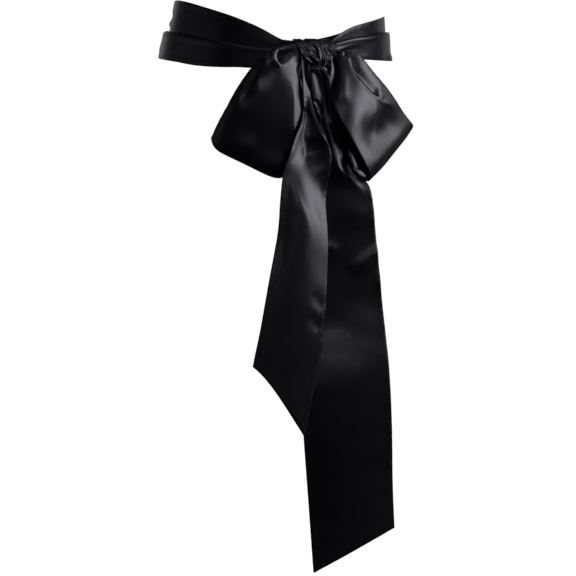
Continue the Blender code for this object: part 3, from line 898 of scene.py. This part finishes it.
# knot: the turn over the necks, open below where the tails come out
knotRow = namedtuple("knotRow", "angle left right")
knotWrap = {
    "flat": (0.040, 0.088),
    "seed": 6,
    "fullWidth": 42.0,
    "forward": -126.5,  # its middle
    "height": -26.2,
    "halfDepth": 15.5,
    "halfHeight": 14.2,
    "squareness": 0.62,  # 1 is round, less is squarer
    "crown": 1.0,
    "stations": 150,  # points along the turn
    "points": 120,  # and across it
    "easing": 2,
    "waveShare": 0.7,
    "waveFineness": 7,  # its wrinkles are this much closer than the waves of the flat cloth
    # angle up from straight ahead, left edge and right edge
    "rows": (
        knotRow(-52, -20.0, 13.5),
        knotRow(-30, -22.0, 15.5),
        knotRow(0, -24.0, 17.2),
        knotRow(35, -28, 17),
        knotRow(70, -29.5, 15),
        knotRow(100, -24, 15),
        knotRow(130, -17.5, 15),
        knotRow(170, -16, 15),
        knotRow(228, -15, 13),
    ),
    # how far up its lower edge starts, across the wrap: it hangs in uneven points
    "lowerEdge": (
        (0, 8), (0.06, -4), (0.14, -9), (0.34, -11), (0.48, -28), (0.595, -54), (0.65, -26), (0.68, -8),
        (0.72, -5), (0.80, -7), (0.90, -8), (0.96, -5), (1, 0),
    ),
    "lowerHold": 6,  # how soon above it the points of the lower edge are lost
    "lowerLean": 0.04,  # how far the front goes back in again below its middle
    # the lines' first numbers are angles up from straight ahead
    "folds": (
        # the drop in its middle, the hem below it and the valley above
        fold(((-48, 0.56), (-25, 0.54), (0, 0.53), (16, 0.528)), 1.2, 2.0, 1.7, 0.3, 0.3),
        fold(((-51, 0.02), (-51, 0.30), (-51, 0.60), (-51, 0.74)), 1.2, 2.0, 2.0, 0.1, 0.1),
        fold(((-40, 0.42), (0, 0.40), (40, 0.38), (80, 0.36)), -1.1, 9.0, 2.4, 0.2, 0.3),
        # the lump on its left, with wrinkles round it
        fold(((10, 0.03), (42, 0.06), (66, 0.14), (58, 0.25), (30, 0.28)), -0.7, 1.8, 1.8, 0.3, 0.3),
        fold(((14, 0.08), (40, 0.10), (50, 0.15), (40, 0.20), (20, 0.21)), -0.5, 1.3, 1.3, 0.3, 0.3),
        fold(((20, 0.38), (50, 0.33), (80, 0.28), (110, 0.26)), -2.2, 2.4, 1.8, 0.4, 0.2),
        fold(((50, 0.80), (80, 0.77), (110, 0.76)), -1.4, 4.0, 4.0, 0.3, 0.2),
    ),
}


def rounded(value):
    return np.sign(value) * np.abs(value) ** knotWrap["squareness"]


def knotGrid():
    rows = knotWrap["rows"]
    across = np.linspace(0, 1, knotWrap["points"])
    edgePlaces, edgeAngles = zip(*knotWrap["lowerEdge"])
    lower = smoothCurve(edgePlaces, edgeAngles, across)
    lowest = rows[0].angle
    highest = rows[-1].angle
    part = np.linspace(0, 1, knotWrap["stations"])[:, None]
    level = lowest + (highest - lowest) * part
    angles = level + (lower[None, :] - lowest) * (1 - part) ** knotWrap["lowerHold"]
    sides = [(item.left, item.right) for item in rows]
    edges = smoothCurve([item.angle for item in rows], sides, np.clip(angles, lowest, highest))
    turn = np.radians(angles)
    front = np.where(angles < 0, 1 - knotWrap["lowerLean"] * (angles / lowest) ** 2, rounded(np.cos(turn)))
    crown = knotWrap["crown"] * np.sin(math.pi * across)[None, :]
    base = np.stack(
        [
            edges[..., 0] + (edges[..., 1] - edges[..., 0]) * across[None, :],
            knotWrap["forward"] - (knotWrap["halfDepth"] + crown) * front,
            knotWrap["height"] + (knotWrap["halfHeight"] + crown) * rounded(np.sin(turn)),
        ],
        axis=-1,
    )
    base = eased(base, knotWrap["easing"])
    along, sideways = measureGrid(base)
    lift = foldLift(level[:, 0], along, sideways, knotWrap["folds"], knotWrap["fullWidth"])
    fineness = knotWrap["waveFineness"]
    lift += knotWrap["waveShare"] * waveLift(fineness * along, fineness * sideways, knotWrap["seed"])
    return base + normalsOf(base, -1) * lift[..., None]


addCloth("knotWrap", knotGrid(), "knot_wrap")

# the layer of the knot under the wrap, seen as a slanting face at its lower left
knotLayer = {
    "flat": (0.012, 0.020),
    "seed": 8,
    "crown": 2,
    "fullWidth": 12.0,
    "step": 0.5,
    "rows": (
        row((-22.0, -141.4, -27.0), (-22.0, -141.8, -30.5), 0),
        row((-18.5, -142.2, -27.0), (-18.5, -143.6, -32.6), 0.2),
        row((-14.5, -141.0, -27.0), (-14.5, -142.6, -35.6), 0.2),
        row((-10.5, -139.6, -27.0), (-10.5, -141.4, -38.6), 0.2),
        row((-7.5, -138.2, -28.0), (-7.2, -139.8, -39.6), 0.2),
        row((-5.0, -135.6, -28.0), (-5.0, -135.6, -38.0), 0),
    ),
    "folds": (
        fold(((0.2, 0.90), (2.0, 0.93), (3.8, 0.93)), 0.7, 1.2, 1.0, 0.2, 0.2),
    ),
}
addCloth("knotLayer", ribbonGrid(knotLayer, -1), None)

# a pleated end of the wrap hangs at its lower right
knotPleat = {
    "flat": (0.014, 0.014),
    "area": 0.00016,
    "seed": 12,
    "crown": 2,
    "fullWidth": 11.0,
    "step": 0.35,
    "rows": (
        row((4.6, -142.2, -25.0), (15.4, -139.4, -24.5), 0),
        row((4.8, -143.2, -30.0), (15.8, -140.2, -29.5), 0.3),
        row((5.4, -143.6, -34.5), (15.4, -140.6, -34.5), 0.3),
        row((6.2, -143.0, -38.8), (14.8, -140.6, -39.4), 0),
    ),
    "folds": (
        fold(((0.3, 0.14), (3.0, 0.20)), -0.9, 1.1, 1.0, 0.2, 0.1),
        fold(((0.3, 0.43), (3.0, 0.44)), -0.6, 0.9, 0.9, 0.2, 0.1),
        fold(((0.3, 0.74), (3.0, 0.72)), -0.6, 0.9, 0.8, 0.2, 0.1),
    ),
}
addCloth("knotPleat", ribbonGrid(knotPleat), None)

# the arc of the first half knot
knotStrand = {
    "flat": (0.010, 0.042),
    "area": 0.0003,
    "seed": 7,
    "crown": 2,
    "fullWidth": 7.0,
    "step": 0.4,
    "rows": (
        row((-12.0, -143.0, -45.4), (-12.0, -143.6, -48.6), 0),
        row((-8.0, -146.2, -44.6), (-7.6, -146.8, -47.4), 0.4),
        row((-2.0, -145.4, -43.6), (-2.4, -146.0, -46.4), 0.5),
        row((3.6, -145.2, -45.6), (1.6, -146.2, -48.0), 0.5),
        row((7.6, -146.8, -50.2), (5.2, -147.8, -52.2), 0.5),
        row((10.2, -148.6, -57.0), (7.6, -149.6, -57.6), 0.5),
        row((9.6, -149.0, -64.0), (7.6, -149.8, -64.0), 0.3),
        row((8.6, -148.0, -70.0), (7.4, -148.4, -70.0), 0.1),
    ),
    "folds": (fold(((0.5, 0.45), (3.5, 0.45), (6.5, 0.5)), 0.4, 2.0, 1.6, 0.2, 0.2),),
}
addCloth("knotStrand", ribbonGrid(knotStrand, -1), "knot_strand")

# a smaller arc above it
smallStrand = {
    "flat": (0.010, 0.016),
    "area": 0.0001,
    "seed": 9,
    "crown": 2,
    "fullWidth": 6.0,
    "step": 0.4,
    "rows": (
        row((-1.5, -143.0, -42.0), (-1.6, -143.4, -43.4), 0),
        row((2.4, -144.0, -42.4), (2.0, -144.8, -44.6), 0.3),
        row((7.0, -143.0, -44.0), (6.0, -144.0, -47.4), 0.4),
        row((10.6, -141.8, -45.6), (9.0, -142.8, -50.2), 0.4),
        row((12.4, -139.6, -47.6), (11.0, -140.4, -51.8), 0.2),
    ),
    "folds": (),
}
addCloth("smallStrand", ribbonGrid(smallStrand, -1), None)

# the right loop's first pleat stands free of it beside the knot
loopPleat = {
    "flat": (0.010, 0.036),
    "area": 0.00018,
    "seed": 10,
    "crown": 2,
    "fullWidth": 7.0,
    "step": 0.4,
    "rows": (
        row((12.6, -142.0, -33.0), (14.0, -141.4, -33.0), 0),
        row((12.6, -144.4, -40.0), (15.4, -143.4, -40.0), 0.2),
        row((11.6, -146.4, -48.0), (16.0, -144.8, -48.0), 0.3),
        row((9.8, -147.2, -56.0), (15.2, -145.2, -56.0), 0.4),
        row((9.2, -147.2, -62.0), (13.8, -145.6, -62.0), 0.3),
        row((9.8, -146.6, -68.0), (11.8, -145.8, -68.0), 0.1),
    ),
    "folds": (),
}
addCloth("loopPleat", ribbonGrid(loopPleat), None)

# the long tail's left half is rolled where it comes out of the knot
neckRoll = {
    "flat": (0.014, 0.096),
    "seed": 11,
    "crown": 2.2,
    "fullWidth": 14.0,
    "step": 0.6,
    "rows": (
        row((-9.5, -139.5, -43.0), (-7.5, -139.0, -43.0), 0),
        row((-10.2, -143.0, -52.0), (-4.5, -141.4, -52.0), 0.3),
        row((-10.4, -144.6, -62.0), (-0.6, -142.0, -62.0), 0.8),
        row((-10.0, -145.4, -72.0), (2.4, -142.4, -72.0), 1.1),
        row((-9.0, -145.4, -82.0), (3.6, -142.6, -82.0), 1.1),
        row((-6.0, -145.0, -92.0), (4.8, -142.4, -92.0), 1.0),
        row((-2.0, -145.0, -104.0), (6.6, -143.0, -104.0), 0.8),
        row((1.5, -145.0, -117.0), (7.6, -143.4, -117.0), 0.6),
        row((3.0, -144.0, -132.0), (6.6, -143.2, -132.0), 0.4),
        row((3.0, -142.0, -144.0), (5.0, -141.6, -144.0), 0.2),
    ),
    "folds": (
        fold(((3.7, 0.0), (4.3, 0.35), (5.2, 0.80), (5.8, 1.0)), -1.4, 2.2, 3.0, 0.2, 0.2),
        fold(((4.9, 0.0), (5.8, 0.40), (6.6, 0.70)), 0.9, 2.0, 1.6, 0.2, 0.3),
        fold(((5.8, 0.1), (6.8, 0.45), (8.0, 0.50)), -0.9, 1.6, 1.8, 0.2, 0.3),
    ),
}
addCloth("neckRoll", ribbonGrid(neckRoll), None)
